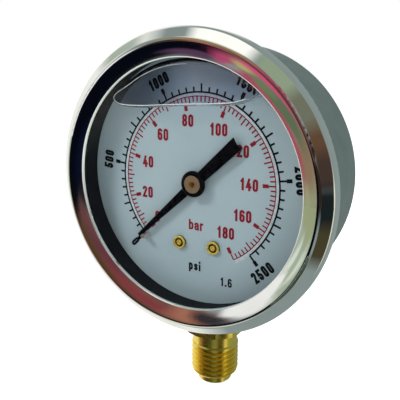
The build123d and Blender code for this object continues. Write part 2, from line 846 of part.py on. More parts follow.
# ---------------------------------------------------------------- pointer
with BuildPart() as pointer:
    with BuildSketch(layer(pointer_depth + pointer_thickness, pointer_zero_angle)):
        Polygon(
            (pointer_length, -pointer_tip_width / 2), (pointer_length, pointer_tip_width / 2),
            (0, pointer_hub_width / 2), (0, -pointer_hub_width / 2), align=None,
        )
        Polygon(
            (0, -tail_hub_width / 2), (0, tail_hub_width / 2), (-tail_reach, tail_end_width / 2),
            (tail_notch - tail_reach, 0), (-tail_reach, -tail_end_width / 2), align=None,
        )
        Circle(boss_radius + hub_rim)
        Circle(boss_radius, mode=Mode.SUBTRACT)
    extrude(amount=pointer_thickness)
save(pointer.part, "pointer")

with BuildPart() as pointer_hub:
    with BuildSketch(layer(pointer_depth)):
        Circle(hub_radius)
    extrude(amount=hub_height)
    fillet(pointer_hub.edges().sort_by(Axis.Y)[0], hub_edge_fillet)
    with BuildSketch(layer(pointer_depth + pointer_thickness + boss_length)):
        Circle(boss_radius)
    extrude(amount=pointer_thickness + boss_length)
    with BuildSketch(layer(pointer_depth - hub_height)):
        Circle(hub_radius - hub_rim)
    extrude(amount=-(hub_height - hub_floor), mode=Mode.SUBTRACT)
    with BuildSketch(layer(pointer_depth + pointer_thickness + boss_length)):
        Circle(arbor_radius)
    extrude(amount=pointer_thickness + boss_length + hub_height, mode=Mode.SUBTRACT)
save(pointer_hub.part, "pointer_hub")

with BuildPart() as hub_disc:
    with BuildSketch(layer(pointer_depth - hub_floor)):
        Circle(hub_radius - hub_rim)
        Circle(arbor_radius, mode=Mode.SUBTRACT)
    extrude(amount=hub_height - hub_floor + arbor_stand_out / 2)
save(hub_disc.part, "hub_disc")
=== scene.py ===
"""Looks of a liquid-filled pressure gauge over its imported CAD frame.

It adds the dial's printing, the air bubble, the finishes and the studio. World units are metres in
the CAD frame. Places on the dial are (u, v) in millimetres from its centre, with angles
anticlockwise from the right, and heights counted from the dial's face towards the window.
"""
import math

import bmesh
import bpy
from mathutils import Matrix, Vector
from mathutils.geometry import delaunay_2d_cdt

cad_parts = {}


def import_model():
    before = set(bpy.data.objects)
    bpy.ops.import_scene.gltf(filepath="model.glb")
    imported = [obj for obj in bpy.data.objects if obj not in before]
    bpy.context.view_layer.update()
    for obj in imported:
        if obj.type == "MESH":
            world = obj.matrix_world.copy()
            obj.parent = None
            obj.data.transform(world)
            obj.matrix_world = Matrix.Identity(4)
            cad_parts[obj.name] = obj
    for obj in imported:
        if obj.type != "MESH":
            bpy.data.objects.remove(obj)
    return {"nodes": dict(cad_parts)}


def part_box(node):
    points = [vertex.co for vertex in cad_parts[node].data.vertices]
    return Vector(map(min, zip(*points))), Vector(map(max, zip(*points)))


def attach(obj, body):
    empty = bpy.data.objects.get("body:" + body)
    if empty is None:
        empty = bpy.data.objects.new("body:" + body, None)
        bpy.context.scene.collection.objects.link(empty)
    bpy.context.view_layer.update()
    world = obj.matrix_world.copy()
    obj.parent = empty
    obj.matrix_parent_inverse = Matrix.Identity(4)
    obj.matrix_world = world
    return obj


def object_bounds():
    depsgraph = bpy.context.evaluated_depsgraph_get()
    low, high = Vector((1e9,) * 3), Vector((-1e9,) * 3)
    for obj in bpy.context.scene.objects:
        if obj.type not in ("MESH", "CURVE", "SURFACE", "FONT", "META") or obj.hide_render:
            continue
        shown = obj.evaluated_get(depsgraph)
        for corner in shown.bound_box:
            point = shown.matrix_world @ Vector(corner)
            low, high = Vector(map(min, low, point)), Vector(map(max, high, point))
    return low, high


MM = 0.001

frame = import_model()
cad_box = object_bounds()
nodes = frame["nodes"]

dial_low, dial_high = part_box("dial")
window_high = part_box("window")[1]
DIAL_X = (dial_low.x + dial_high.x) / 2
DIAL_Z = (dial_low.z + dial_high.z) / 2
FACE_Y = dial_low.y
WINDOW_GAP = (FACE_Y - window_high.y) / MM  # dial's face to the back of the window
LIP_RADIUS = min(  # the bezel's inner edge
    math.hypot(vertex.co.x - DIAL_X, vertex.co.z - DIAL_Z)
    for vertex in nodes["bezel_ring"].data.vertices
) / MM


def polar(radius, angle):
    """Point on the dial at this radius and angle."""
    a = math.radians(angle)
    return (radius * math.cos(a), radius * math.sin(a))


def on_dial(u, v, height):
    """World place of a point on the dial, this high above its face."""
    return Vector((DIAL_X + u * MM, FACE_Y - height * MM, DIAL_Z + v * MM))


# ---------------------------------------------------------------- node helpers
def new_material(name):
    """Empty node material: its tree, its main shader and itself."""
    material = bpy.data.materials.new(name)
    material.use_nodes = True
    tree = material.node_tree
    return material, tree, tree.nodes["Principled BSDF"]


def add(tree, kind, **inputs):
    """New node, with its inputs set by name or linked from a socket."""
    node = tree.nodes.new(kind)
    for key, value in inputs.items():
        socket = node.inputs[key.replace("_", " ")]
        if isinstance(value, bpy.types.NodeSocket):
            tree.links.new(value, socket)
        else:
            socket.default_value = value
    return node


def link(tree, value, shader, name):
    """Feeds a shader's named input from a socket."""
    tree.links.new(value, shader.inputs[name])


def surface(tree, shader):
    """Makes this shader the material's surface."""
    tree.links.new(shader, tree.nodes["Material Output"].inputs["Surface"])


def shader_mix(tree, share, first, second):
    """Mix of two shaders' outputs; the share is the second one's."""
    mix = add(tree, "ShaderNodeMixShader", Fac=share)
    tree.links.new(first, mix.inputs[1])
    tree.links.new(second, mix.inputs[2])
    return mix.outputs[0]


def calculate(tree, operation, *values):
    """Math node's result from sockets or numbers."""
    node = add(tree, "ShaderNodeMath")
    node.operation = operation
    for socket, value in zip(node.inputs, values):
        if isinstance(value, bpy.types.NodeSocket):
            tree.links.new(value, socket)
        else:
            socket.default_value = value
    return node.outputs[0]


def place(tree, stretch=(1, 1, 1)):
    """Object coordinates, stretched along each axis, as a vector socket."""
    coordinates = tree.nodes.new("ShaderNodeTexCoord")
    mapping = add(tree, "ShaderNodeMapping", Vector=coordinates.outputs["Object"], Scale=stretch)
    return mapping.outputs["Vector"]


def apart(tree, vector):
    """The X, Y and Z sockets of a vector."""
    return add(tree, "ShaderNodeSeparateXYZ", Vector=vector).outputs


def around(tree, centre, axis):
    """Coordinates (radius, depth) about an axis, so that marks run round it as turning marks do."""
    coordinates = tree.nodes.new("ShaderNodeTexCoord")
    moved = add(tree, "ShaderNodeMapping", Vector=coordinates.outputs["Object"],
                Location=[-c for c in centre])
    parts = apart(tree, moved.outputs["Vector"])
    across, along = (("X", "Z"), "Y") if axis == "Y" else (("X", "Y"), "Z")
    squares = [calculate(tree, "MULTIPLY", parts[name], parts[name]) for name in across]
    radius = calculate(tree, "SQRT", calculate(tree, "ADD", *squares))
    return add(tree, "ShaderNodeCombineXYZ", X=radius, Y=parts[along]).outputs["Vector"]


def noise(tree, vector, scale, detail, roughness=0.55):
    """Noise value between 0 and 1; the scale is in features per metre."""
    node = add(tree, "ShaderNodeTexNoise", Vector=vector, Scale=scale, Detail=detail,
               Roughness=roughness)
    return node.outputs["Fac"]


def ramp(tree, value, *stops):
    """Colour ramp through (position, colour) stops."""
    node = add(tree, "ShaderNodeValToRGB", Fac=value)
    elements = node.color_ramp.elements
    while len(elements) < len(stops):
        elements.new(0.5)
    for element, (position, colour) in zip(elements, stops):
        element.position = position
        element.color = (*colour, 1) if len(colour) == 3 else colour
    return node.outputs["Color"]


def between(tree, value, low, high, start=0.3, end=0.7):
    """Number that goes from low to high while the value goes from start to end."""
    node = add(tree, "ShaderNodeMapRange", Value=value, From_Min=start, From_Max=end, To_Min=low,
               To_Max=high)
    return node.outputs["Result"]


COLOUR_A, COLOUR_B, COLOUR_RESULT = 6, 7, 2  # the colour sockets of a Mix node


def blend(tree, factor, low, high):
    """Colour between two colours or colour sockets."""
    node = tree.nodes.new("ShaderNodeMix")
    node.data_type = "RGBA"
    tree.links.new(factor, node.inputs["Factor"])
    for index, value in ((COLOUR_A, low), (COLOUR_B, high)):
        if isinstance(value, bpy.types.NodeSocket):
            tree.links.new(value, node.inputs[index])
        else:
            node.inputs[index].default_value = (*value, 1)
    return node.outputs[COLOUR_RESULT]


def bump(tree, shader, height, depth_mm, strength):
    """Small relief, in millimetres, on a shader's normal."""
    node = add(tree, "ShaderNodeBump", Height=height, Strength=strength, Distance=depth_mm * MM)
    link(tree, node.outputs["Normal"], shader, "Normal")


def toned(colour, factor):
    """Colour made darker or lighter by a factor."""
    return tuple(min(1.0, c * factor) for c in colour)


# ---------------------------------------------------------------- materials
# Scales are in features per metre, depths of relief in millimetres.
BROAD_TONE = 160  # cloudiness of a metal's tone
TURNING_MARKS = 5200
LOW_STOP, HIGH_STOP = 0.30, 0.70  # noise values between which a tone changes
STAIN_STOP = 0.22
LIP_HIGHLIGHT = (0.93, 0.97, 0.88)  # painted highlight along the bezel's lip
LIP_HIGHLIGHT_METALLIC = 0.1
LIP_HIGHLIGHT_WIDTH = 0.16  # how far that painted highlight reaches out from the bezel's lip
LIP_HIGHLIGHT_SOFTNESS = 0.05
LIP_HIGHLIGHT_LOW_SHARE = 0.25  # how much of the painted highlight still shows on the lower half
LIP_HIGHLIGHT_FADE_BELOW, LIP_HIGHLIGHT_FULL_ABOVE = -12, 4  # heights over the dial's centre


def metal(name, colour, roughness, spread, marks=None, *, tone, grain=(700, 700, 700),
          stain=None, relief=0.004, highlight_reach=None):
    """Bare or plated metal: tone, gloss and a fine relief vary over the surface.

    spread and tone say how much its gloss and its tone vary. marks are (centre, axis) where turning
    marks run round an axis, and grain is the scale along each axis where there are none. The last
    argument is the radius in millimetres inside which a turned ring gets a pale painted highlight,
    fainter on its lower half.
    """
    material, tree, shader = new_material(name)
    shader.inputs["Metallic"].default_value = 1
    broad = noise(tree, place(tree), BROAD_TONE, 4)
    if marks:
        fine = noise(tree, around(tree, *marks), TURNING_MARKS, 2, 0.5)
    else:
        fine = noise(tree, place(tree, grain), 1.0, 3)
    stops = [(LOW_STOP, toned(colour, 1 - tone)), (HIGH_STOP, toned(colour, 1 + tone))]
    if stain:
        stops.insert(0, (STAIN_STOP, stain))
    tint = ramp(tree, broad, *stops)
    # painted highlight: a pale, nearly non-metallic band at the ring's inner edge, full on the
    # upper part and fainter below
    if highlight_reach:
        radius = apart(tree, around(tree, *marks))["X"]
        edge = between(tree, radius, 1, 0, (highlight_reach - LIP_HIGHLIGHT_SOFTNESS) * MM, (highlight_reach + LIP_HIGHLIGHT_SOFTNESS) * MM)
        up = apart(tree, place(tree))["Z"]
        highlight_share = between(tree, up, LIP_HIGHLIGHT_LOW_SHARE, 1, DIAL_Z + LIP_HIGHLIGHT_FADE_BELOW * MM,
                       DIAL_Z + LIP_HIGHLIGHT_FULL_ABOVE * MM)
        edge = calculate(tree, "MULTIPLY", edge, highlight_share)
        tint = blend(tree, edge, tint, LIP_HIGHLIGHT)
        link(tree, between(tree, edge, 1, LIP_HIGHLIGHT_METALLIC, 0, 1), shader, "Metallic")
    link(tree, tint, shader, "Base Color")
    link(tree, between(tree, fine, roughness - spread, roughness + spread), shader, "Roughness")
    bump(tree, shader, fine, relief, 0.4)
    return material


RIVET_LOW, RIVET_HIGH = 0.40, 0.72  # heights above the dial between which a rivet goes from painted shade to painted light


def rivet_brass():
    """Dull brass with painted shade towards the dial and in the ring round its middle, and painted
    light on top.
    """
    material, tree, shader = new_material("rivet_brass")
    shader.inputs["Metallic"].default_value = 0.6
    depth = apart(tree, place(tree))["Y"]
    # painted shade and light: dark brass low down and in the groove, bright brass on the raised
    # parts
    raised = between(tree, depth, 1, 0, FACE_Y - RIVET_HIGH * MM, FACE_Y - RIVET_LOW * MM)
    cloud = noise(tree, place(tree), 900, 3)
    bright = ramp(tree, cloud, (LOW_STOP, (0.84, 0.58, 0.09)), (HIGH_STOP, (1.0, 0.74, 0.17)))
    link(tree, blend(tree, raised, (0.12, 0.085, 0.012), bright), shader, "Base Color")
    link(tree, between(tree, cloud, 0.20, 0.32), shader, "Roughness")
    bump(tree, shader, cloud, 0.01, 0.4)
    return material


def rubber():
    """Black moulded rubber with a faint dusty bloom."""
    material, tree, shader = new_material("rubber")
    shader.inputs["Specular IOR Level"].default_value = 0.2
    bloom = noise(tree, place(tree), 420, 5)
    tint = ramp(tree, bloom, (0.35, (0.003, 0.003, 0.005)), (0.75, (0.012, 0.012, 0.015)))
    link(tree, tint, shader, "Base Color")
    link(tree, between(tree, bloom, 0.50, 0.72), shader, "Roughness")
    bump(tree, shader, noise(tree, place(tree), 3800, 2), 0.01, 0.35)
    return material


def enamel():
    """Pale enamel of the dial, very slightly uneven in tone and surface."""
    material, tree, shader = new_material("dial_enamel")
    cloud = noise(tree, place(tree), 46, 3)
    tint = ramp(tree, cloud, (LOW_STOP, (0.32, 0.40, 0.43)), (HIGH_STOP, (0.36, 0.435, 0.465)))
    link(tree, tint, shader, "Base Color")
    link(tree, between(tree, noise(tree, place(tree), 900, 2), 0.34, 0.46), shader, "Roughness")
    bump(tree, shader, noise(tree, place(tree), 2600, 2), 0.004, 0.25)
    return material


DULL = 0.15  # specular level of ink and lacquer under the liquid


def ink(name, colour):
    """Screen-printed ink, denser in some places than in others; the bubble's painted highlight uses
    it too.
    """
    material, tree, shader = new_material(name)
    shader.inputs["Specular IOR Level"].default_value = DULL
    cover = noise(tree, place(tree), 1500, 3)
    tint = ramp(tree, cover, (LOW_STOP, toned(colour, 0.8)), (0.75, toned(colour, 1.2)))
    link(tree, tint, shader, "Base Color")
    link(tree, between(tree, cover, 0.42, 0.60), shader, "Roughness")
    return material


def black_paint():
    """Satin black lacquer of the pointer and its hub."""
    material, tree, shader = new_material("pointer_black")
    shader.inputs["Specular IOR Level"].default_value = DULL
    peel = noise(tree, place(tree), 1300, 3)
    tint = ramp(tree, peel, (LOW_STOP, (0.0012, 0.0012, 0.002)), (0.75, (0.0040, 0.0040, 0.006)))
    link(tree, tint, shader, "Base Color")
    link(tree, between(tree, peel, 0.24, 0.40), shader, "Roughness")
    bump(tree, shader, peel, 0.006, 0.3)
    return material


WINDOW_TINT = (0.97, 0.985, 0.985, 1)
WINDOW_IOR = 1.25  # lower than glass's, for a fainter mirror
WHITE = (1, 1, 1, 1)


def window_glass():
    """Clear window: see-through, with the mirror of a polished face on its outer side."""
    material, tree, shader = new_material("window_glass")
    tree.nodes.remove(shader)
    clear = add(tree, "ShaderNodeBsdfTransparent", Color=WINDOW_TINT).outputs[0]
    smear = noise(tree, place(tree), 120, 3)
    mirror = add(tree, "ShaderNodeBsdfGlossy", Color=WHITE,
                 Roughness=between(tree, smear, 0.01, 0.05)).outputs[0]
    edge = add(tree, "ShaderNodeFresnel", IOR=WINDOW_IOR).outputs[0]
    inside = tree.nodes.new("ShaderNodeNewGeometry").outputs["Backfacing"]
    share = calculate(tree, "MULTIPLY", edge, calculate(tree, "SUBTRACT", 1.0, inside))
    surface(tree, shader_mix(tree, share, clear, mirror))
    return material


BUBBLE_IOR = 0.78  # of air in the liquid, eased so that what is behind stays readable
BUBBLE_REACH = 24  # half the width over which its painted shading changes, in millimetres
BUBBLE_SHADING = ((0.04, (0.46, 0.47, 0.52)), (0.29, (0.60, 0.61, 0.66)),
                (0.46, (0.93, 0.94, 0.99)), (0.71, (0.80, 0.81, 0.87)))  # painted shade from left to right: darkest on the left, lightest right of the middle
BUBBLE_SHADOW = (0.92, 0.92, 0.95, 1)  # what lamps keep of their colour on the way through


def air_bubble(name, shine):
    """Air in the liquid: it bends light the other way from a drop, and lets lamps through.

    shine is the share of light that its skin mirrors.
    """
    material, tree, shader = new_material(name)
    tree.nodes.remove(shader)
    # painted shade: the glass is tinted darker on the bubble's left and lighter towards its right
    sideways = between(tree, apart(tree, place(tree))["X"], 0, 1,
                       DIAL_X - BUBBLE_REACH * MM, DIAL_X + BUBBLE_REACH * MM)
    tint = ramp(tree, sideways, *BUBBLE_SHADING)
    glass = add(tree, "ShaderNodeBsdfGlass", Color=tint, IOR=BUBBLE_IOR, Roughness=0.0).outputs[0]
    mirror = add(tree, "ShaderNodeBsdfGlossy", Color=WHITE, Roughness=0.04).outputs[0]
    clear = add(tree, "ShaderNodeBsdfTransparent", Color=BUBBLE_SHADOW).outputs[0]
    path = tree.nodes.new("ShaderNodeLightPath").outputs
    light = calculate(tree, "MAXIMUM", path["Is Shadow Ray"], path["Is Diffuse Ray"])
    skin = shader_mix(tree, shine, glass, mirror)
    surface(tree, shader_mix(tree, light, skin, clear))
    return material


MATERIALS = {}


def make_materials():
    """Every finish by its name; a turned piece takes the axis that it was turned about."""
    dial_axis = ((DIAL_X, 0, DIAL_Z), "Y")
    stem_axis = ((0, 0, 0), "Z")
    MATERIALS.update(
        # the bezel gets a painted highlight along its lip, fainter on the lower half
        chrome=metal("bezel_chrome", (0.80, 0.80, 0.81), 0.065, 0.03, dial_axis, tone=0.03,
                     relief=0.0015, highlight_reach=LIP_RADIUS + LIP_HIGHLIGHT_WIDTH),
        case=metal("case_steel", (0.36, 0.41, 0.42), 0.34, 0.06, dial_axis, tone=0.08,
                   relief=0.006),
        glass=window_glass(),
        rubber=rubber(),
        enamel=enamel(),
        brass=metal("turned_brass", (0.88, 0.66, 0.12), 0.27, 0.07, stem_axis, tone=0.10,
                    stain=(0.42, 0.24, 0.07), relief=0.006),
        sheet_brass=metal("sheet_brass", (0.76, 0.58, 0.24), 0.30, 0.08, tone=0.10,
                          grain=(3200, 600, 500), stain=(0.52, 0.36, 0.14)),
        rivet=rivet_brass(),
        pin=metal("stop_pin", (0.86, 0.74, 0.72), 0.50, 0.06, tone=0.10),
        arbor=metal("arbor_brass", (0.90, 0.50, 0.10), 0.28, 0.05, tone=0.10),
        disc=metal("dull_brass", (0.88, 0.66, 0.44), 0.42, 0.08, dial_axis, tone=0.10,
                   relief=0.005),
        bronze=metal("drawn_bronze", (0.62, 0.42, 0.20), 0.30, 0.08, tone=0.12,
                     grain=(600, 2600, 600), stain=(0.36, 0.20, 0.10)),
        steel=metal("bright_steel", (0.60, 0.60, 0.61), 0.22, 0.07, tone=0.06),
        paint=black_paint(),
        black=ink("black_ink", (0.004, 0.005, 0.008)),
        red=ink("red_ink", (0.22, 0.009, 0.020)),
        pale=ink("pale_ink", (0.44, 0.50, 0.52)),
        # painted highlight: a pale strip where the bubble's edge meets the window
        glint=ink("bubble_glint", (0.80, 0.84, 0.80)),
        bubble=air_bubble("air_bubble", shine=0.0),
        bubble_edge=air_bubble("air_bubble_edge", shine=0.12),
    )


NODE_FINISH = {
    "bezel_ring": "chrome", "case_shell": "case", "window": "glass", "window_gasket": "rubber",
    "fill_plug": "rubber", "socket_seal": "rubber", "case_screw_washers": "rubber",
    "case_screws": "steel", "dial": "enamel", "dial_rivets": "rivet",
    "dial_standoffs": "sheet_brass", "stop_pin": "pin",
    "front_plate": "sheet_brass", "rear_plate": "sheet_brass",
    "movement_pillars": "brass", "pillar_screws": "steel", "movement_screws": "steel",
    "socket": "brass", "restrictor_screw": "sheet_brass", "bourdon_tube": "bronze",
    "tube_end_cap": "brass", "tip_pin": "steel", "link": "sheet_brass", "link_pin": "steel",
    "sector_gear": "sheet_brass", "sector_arbor": "steel", "pinion_arbor": "arbor",
    "hairspring": "bronze", "hairspring_stud": "brass", "hairspring_collet": "brass",
    "pointer": "paint", "pointer_hub": "paint", "hub_disc": "disc",
}


def finish_nodes():
    """Gives each CAD node its procedural material."""
    for name, node in nodes.items():
        material = MATERIALS[NODE_FINISH[name]]
        if not node.material_slots:
            node.data.materials.append(material)
        for slot in node.material_slots:
            slot.link = "OBJECT"
            slot.material = material


# ---------------------------------------------------------------- flat printing
INK_HEIGHT = 0.03  # of the raised ink, in millimetres
MITRE_LIMIT = 0.6  # cosine of half the sharpest turn that keeps its point
SAME_POINT = 1e-5  # points of the printing nearer than this, in millimetres, are one
BAND_STEP = 1.5  # degrees of a ring to one quad


def stroke(points, width, closed=False):
    """Convex pieces of a line of even width: a bar per segment and a wedge outside each corner."""
    points = [Vector(p) for p in points]
    half = width / 2
    if closed:
        points = points + points[:2]
    else:
        first, last = points[0] - points[1], points[-1] - points[-2]
        points[0] = points[0] + first.normalized() * half
        points[-1] = points[-1] + last.normalized() * half
    sides = []
    for start, end in zip(points, points[1:]):
        along = (end - start).normalized()
        sides.append(Vector((-along.y, along.x)) * half)
    pieces = [[a + side, a - side, b - side, b + side]
              for a, b, side in zip(points, points[1:], sides)]
    for point, before, after in zip(points[1:], sides, sides[1:]):
        outer = -1 if before.cross(after) > 0 else 1
        middle = (before + after).normalized()
        reach = half / max(MITRE_LIMIT, middle.dot(before.normalized()))
        pieces.append([point, point + before * outer, point + middle * reach * outer,
                       point + after * outer])
    return pieces[1:] if closed else pieces


def tick(angle, inner, outer, width):
    """Radial bar on the dial."""
    along, across = Vector(polar(1, angle)), Vector(polar(1, angle + 90))
    return [along * inner + across * width / 2, along * inner - across * width / 2,
            along * outer - across * width / 2, along * outer + across * width / 2]


def band(inner, outer, start, end):
    """Quads of a ring sector."""
    count = max(1, round(abs(end - start) / BAND_STEP))
    angles = [start + (end - start) * i / count for i in range(count + 1)]
    return [[polar(outer, a), polar(outer, b), polar(inner, b), polar(inner, a)]
            for a, b in zip(angles, angles[1:])]


def covers(polygon, point):
    """Whether a point is inside a convex polygon that runs anticlockwise."""
    return all((b - a).cross(point - a) >= 0 for a, b in zip(polygon, polygon[1:] + polygon[:1]))


def printed(name, polygons, material, height=INK_HEIGHT, base=0.0):
    """One flat piece of ink from overlapping convex polygons, joined into a single outline."""
    shapes, points, faces = [], [], []
    for polygon in polygons:
        shape = [Vector(p[:2]) for p in polygon]
        if sum(a.cross(b) for a, b in zip(shape, shape[1:] + shape[:1])) < 0:
            shape.reverse()
        faces.append(list(range(len(points), len(points) + len(shape))))
        points += shape
        middle = sum(shape, Vector((0, 0))) / len(shape)
        shapes.append((shape, middle, max((p - middle).length for p in shape)))
    corners, _, triangles, *_ = delaunay_2d_cdt(points, [], faces, 0, SAME_POINT, False)
    covered = []
    for triangle in triangles:
        inside = sum((corners[i] for i in triangle), Vector((0, 0))) / 3
        if any((inside - middle).length < reach and covers(shape, inside)
               for shape, middle, reach in shapes):
            covered.append(triangle)
    mesh = bmesh.new()
    used = sorted({i for triangle in covered for i in triangle})
    low = {i: mesh.verts.new(on_dial(*corners[i], base)) for i in used}
    rise = Vector((0, -height * MM, 0))
    high = {i: mesh.verts.new(low[i].co + rise) for i in used}
    for a, b, c in covered:
        mesh.faces.new((high[a], high[b], high[c]))
        mesh.faces.new((low[c], low[b], low[a]))
    edges = {edge for a, b, c in covered for edge in ((a, b), (b, c), (c, a))}
    for a, b in sorted(edges):
        if (b, a) not in edges:
            mesh.faces.new((low[a], low[b], high[b], high[a]))
    return piece(name, mesh, material)


def new_object(name, mesh, material):
    """Object from a bmesh, with its material, in the scene."""
    data = bpy.data.meshes.new(name)
    mesh.to_mesh(data)
    mesh.free()
    data.materials.append(material)
    obj = bpy.data.objects.new(name, data)
    bpy.context.scene.collection.objects.link(obj)
    return obj


def piece(name, mesh, material, body="root"):
    """Piece of the gauge from a bmesh, with its material, slot and body."""
    obj = new_object(name, mesh, material)
    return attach(obj, body)


# ---------------------------------------------------------------- condensed lettering
CURVE_STEPS = 9


def curve(x, y, across, up, start, end):
    """Part of an ellipse, as points."""
    angles = [math.radians(start + (end - start) * i / CURVE_STEPS) for i in range(CURVE_STEPS + 1)]
    return [(x + across * math.cos(a), y + up * math.sin(a)) for a in angles]


ROUND = 0.36  # height of a digit's round ends
LOW = 0.36  # height of the round ends of a small letter
SMALL = 0.45  # top of a small letter


def ring(bottom, top, half=1.0, end=ROUND):
    """Closed upright loop with round ends."""
    return curve(0, top - end, half, end, 0, 180) + curve(0, bottom + end, half, end, 180, 360)


# Strokes of each character in a box from -1 to 1 each way; a closed loop is marked by True.
GLYPHS = {
    "0": [(ring(-1, 1), True)],
    "1": [([(-0.70, 0.60), (0.20, 1.0), (0.20, -1)], False)],
    "2": [(curve(0, 1 - ROUND, 1, ROUND, 170, -25) + [(-0.95, -1), (1, -1)], False)],
    "4": [([(0.20, 1), (-1.05, -0.45), (1.15, -0.45)], False), ([(0.45, 0.10), (0.45, -1)], False)],
    "5": [([(0.90, 1), (-0.80, 1), (-0.90, 0.02)] + curve(0, -0.45, 1, 0.55, 120, -160), False)],
    "6": [(ring(-1, 0.16), True), ([(-1, -0.3)] + curve(0, 1 - ROUND, 1, ROUND, 180, 25), False)],
    "8": [(ring(0.02, 1, 0.92), True), (ring(-1, 0.02), True)],
    ".": [([(-0.2, -0.98), (0.2, -0.98)], False)],
    "b": [([(-1, 1.1), (-1, -1)], False), (ring(-1, SMALL, 1, LOW), True)],
    "a": [(curve(0, SMALL - LOW, 1, LOW, 165, 0) + [(1, -1)], False),
          ([(1, -0.22)] + curve(-0.1, -0.61, 0.9, 0.39, 90, 270) + [(1, -0.85)], False)],
    "r": [([(-0.8, SMALL), (-0.8, -1)], False), (curve(0.1, 0.05, 0.9, 0.4, 180, 60), False)],
    "p": [([(-1, SMALL), (-1, -1.6)], False), (ring(-1, SMALL, 1, LOW), True)],
    "s": [(curve(0, 0.10, 0.9, 0.35, 25, 270) + curve(0, -0.63, 0.9, 0.37, 88, -155), False)],
    "i": [([(0, 0.36), (0, -1)], False), ([(0, 1.12), (0, 1.22)], False)],
}
NARROW = {"1": 0.8, ".": 0.45, "i": 0.35, "r": 0.8}  # room of the slim characters
NARROW_FIT = 0.85  # how much of it their strokes fill
LETTER_GAP = 0.30


def lettering(text, centre, height, width, weight, turn=0.0):
    """Polygons of a line of text about its centre; width is one character's, turn its slope."""
    widths = [width * NARROW.get(character, 1) for character in text]
    x = -(sum(widths) + LETTER_GAP * (len(text) - 1)) / 2
    across, up = Vector(polar(1, turn)), Vector(polar(1, turn + 90))
    half_width, half_height = (width - weight) / 2, (height - weight) / 2
    found = []
    for character, room in zip(text, widths):
        middle = x + room / 2
        narrow = half_width * (NARROW_FIT if character in NARROW else 1)
        for points, closed in GLYPHS[character]:
            flat = [(middle + a * narrow, b * half_height) for a, b in points]
            for quad in stroke(flat, weight, closed):
                found.append([Vector(centre) + across * q[0] + up * q[1] for q in quad])
        x += room + LETTER_GAP
    return found


# ---------------------------------------------------------------- the dial's scales
ZERO_ANGLE = 223.8  # where the pointer rests; the scale's start is pressed together there
SCALE_START = 228.0  # where zero would be on the even part of the scale
DEGREES_PER_BAR = 1.6
PSI_PER_BAR = 14.5038
END_BAR, END_PSI = 180, 2500
BAR_STEP, PSI_STEP = 2, 50  # between neighbouring marks; the first mark after zero is left out
RED_RIM, BLACK_RIM = 19.6, 20.4  # radius of the red line's outer edge and of the black line
RED_LINE, BLACK_LINE = 0.24, 0.20  # width of the red line, half the width of the black one
RED_TICK, BLACK_TICK, BOLD_TICK = 0.33, 0.44, 0.85  # widths of the marks
RED_ENDS = {20: 16.4, 10: 17.6, 2: 18.25}  # how far in a mark reaches, by what divides its value
BLACK_ENDS = {500: 23.3, 250: 22.3, 50: 21.6}  # how far out
RED_BOLD, BLACK_BOLD = 17.8, 22.0  # radius where the long marks turn bold


def bar_angle(bar):
    """Where a pressure in bar stands on the dial."""
    return ZERO_ANGLE if bar == 0 else SCALE_START - DEGREES_PER_BAR * bar


def psi_angle(psi):
    """Where a pressure in psi stands on the dial."""
    return bar_angle(psi / PSI_PER_BAR)


def mark_end(value, ends):
    """Radius that a mark reaches: the first one whose step divides its value."""
    return next(radius for step, radius in ends.items() if value % step == 0)


def red_scale():
    """Inner scale, in bar, with its marks pointing inwards."""
    marks = band(RED_RIM - RED_LINE, RED_RIM, ZERO_ANGLE, bar_angle(END_BAR))
    for bar in range(0, END_BAR + 1, BAR_STEP):
        if bar == BAR_STEP:
            continue
        angle = bar_angle(bar)
        inner = mark_end(bar, RED_ENDS)
        marks.append(tick(angle, inner, RED_RIM - RED_LINE / 2, RED_TICK))
        if bar in RED_NUMBERS:
            marks.append(tick(angle, inner, RED_BOLD, BOLD_TICK))
    return marks


def black_scale():
    """Outer scale, in psi, with its marks pointing outwards."""
    marks = band(BLACK_RIM - BLACK_LINE, BLACK_RIM + BLACK_LINE, ZERO_ANGLE, psi_angle(END_PSI))
    for psi in range(0, END_PSI + 1, PSI_STEP):
        if psi == PSI_STEP:
            continue
        angle = psi_angle(psi)
        outer = mark_end(psi, BLACK_ENDS)
        marks.append(tick(angle, BLACK_RIM, outer, BLACK_TICK))
        if psi in PSI_NUMBERS:
            marks.append(tick(angle, BLACK_BOLD, outer, BOLD_TICK))
    return marks


# Figures by their value: (radius, angle) for the red ones, and for the black ones the radius and
# whether their tops point outwards.
RED_NUMBERS = {0: (14.6, 221), 20: (14.3, 195.5), 40: (14.0, 165), 60: (13.9, 131.5),
               80: (14.3, 100), 100: (13.7, 66.5), 120: (13.6, 37.5), 140: (13.2, 4.5),
               160: (13.3, -28), 180: (13.2, -55)}
PSI_NUMBERS = {0: (24.6, False), 500: (25.4, True), 1000: (25.2, True), 1500: (25.2, True),
               2000: (25.3, True), 2500: (25.2, False)}
# Height, width and weight of each kind of lettering.
RED_FIGURE, BLACK_FIGURE = (2.80, 1.32, 0.56), (2.70, 1.28, 0.60)
BAR_NAME, PSI_NAME, CLASS_FIGURE = (2.4, 1.2, 0.46), (2.2, 1.08, 0.46), (2.15, 1.05, 0.40)


def numbers():
    """Figures and units: the red figures upright, the black ones along their circle."""
    red, black = [], []
    for bar, (radius, angle) in RED_NUMBERS.items():
        red += lettering(str(bar), polar(radius, angle), *RED_FIGURE)
    for psi, (radius, outwards) in PSI_NUMBERS.items():
        angle = psi_angle(psi)
        turn = angle - 90 if outwards else angle + 90
        black += lettering(str(psi), polar(radius, angle), *BLACK_FIGURE, turn)
    red += lettering("bar", (-0.2, -10.2), *BAR_NAME)
    black += lettering("psi", (-0.6, -20.3), *PSI_NAME)
    black += lettering("1.6", (7.9, -22.8), *CLASS_FIGURE)
    return red, black


